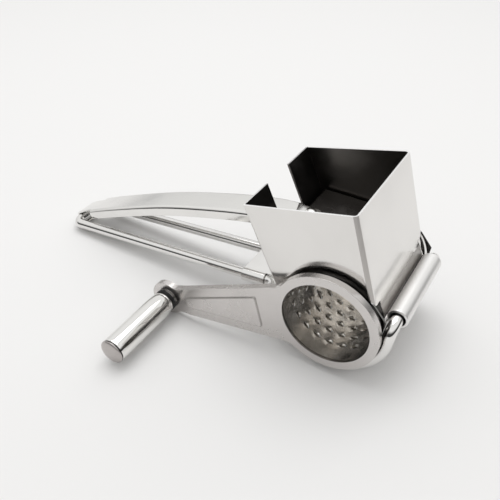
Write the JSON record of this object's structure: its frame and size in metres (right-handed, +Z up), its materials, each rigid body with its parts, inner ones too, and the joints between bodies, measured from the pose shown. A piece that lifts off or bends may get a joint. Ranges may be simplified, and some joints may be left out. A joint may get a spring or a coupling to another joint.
{
  "type": "rotary cheese grater",
  "caption": "Hand-cranked rotary cheese grater: hopper on a bent wire handle, perforated drum with crank and grip, hinged lever with presser.",
  "frame": {"origin": "on the table, under the middle of the object's box", "axes": "+X from the handle towards the front roller, +Y from the crank side to the back, +Z up"},
  "size_m": [0.2296, 0.127, 0.0927],
  "materials": {
    "polished_sheet": "mirror-polished stainless sheet",
    "polished_wire": "polished stainless wire and tube",
    "satin_sheet": "softly polished pressed stainless sheet",
    "drum_sheet": "punched stainless sheet, warm grey inside",
    "black_plastic": "black moulded plastic"
  },
  "bodies": {
    "frame": {"hopper_wrap": "polished_sheet", "hopper_rear_wall": "polished_sheet", "rear_bracket": "polished_sheet", "handle_wire": "polished_wire"},
    "roller": {"front_roller": "polished_wire"},
    "lever": {"lever_channel": "polished_sheet", "presser_pan": "polished_sheet", "presser_rivet_1": "polished_wire", "presser_rivet_2": "polished_wire"},
    "crank": {"crank_arm": "satin_sheet", "drum_front_collar": "polished_sheet", "drum_shell": "drum_sheet", "drum_rear_rim": "polished_sheet", "drum_rear_cap": "drum_sheet", "grip_pin": "polished_wire", "grip_washer": "polished_wire"},
    "grip": {"grip_bush": "black_plastic", "grip_liner": "black_plastic", "grip_tube": "polished_sheet", "grip_end_cap": "satin_sheet"}
  },
  "joints": [
    {"name": "crank_spin", "type": "hinge", "parent": "frame", "child": "crank", "pos_m": [0.07975, -0.011, 0.0321], "axis": [0, 1, 0], "continuous": true},
    {"name": "grip_spin", "type": "hinge", "parent": "crank", "child": "grip", "pos_m": [-0.01069, -0.0162, 0.01], "axis": [0, 1, 0], "continuous": true},
    {"name": "lever_hinge", "type": "hinge", "parent": "frame", "child": "lever", "pos_m": [-0.11025, 0.02825, 0.00465], "axis": [0, -1, 0], "range_deg": [0, 110]},
    {"name": "roller_spin", "type": "hinge", "parent": "frame", "child": "roller", "pos_m": [0.10965, 0.02825, 0.0388], "axis": [0, 1, 0], "continuous": true}
  ]
}
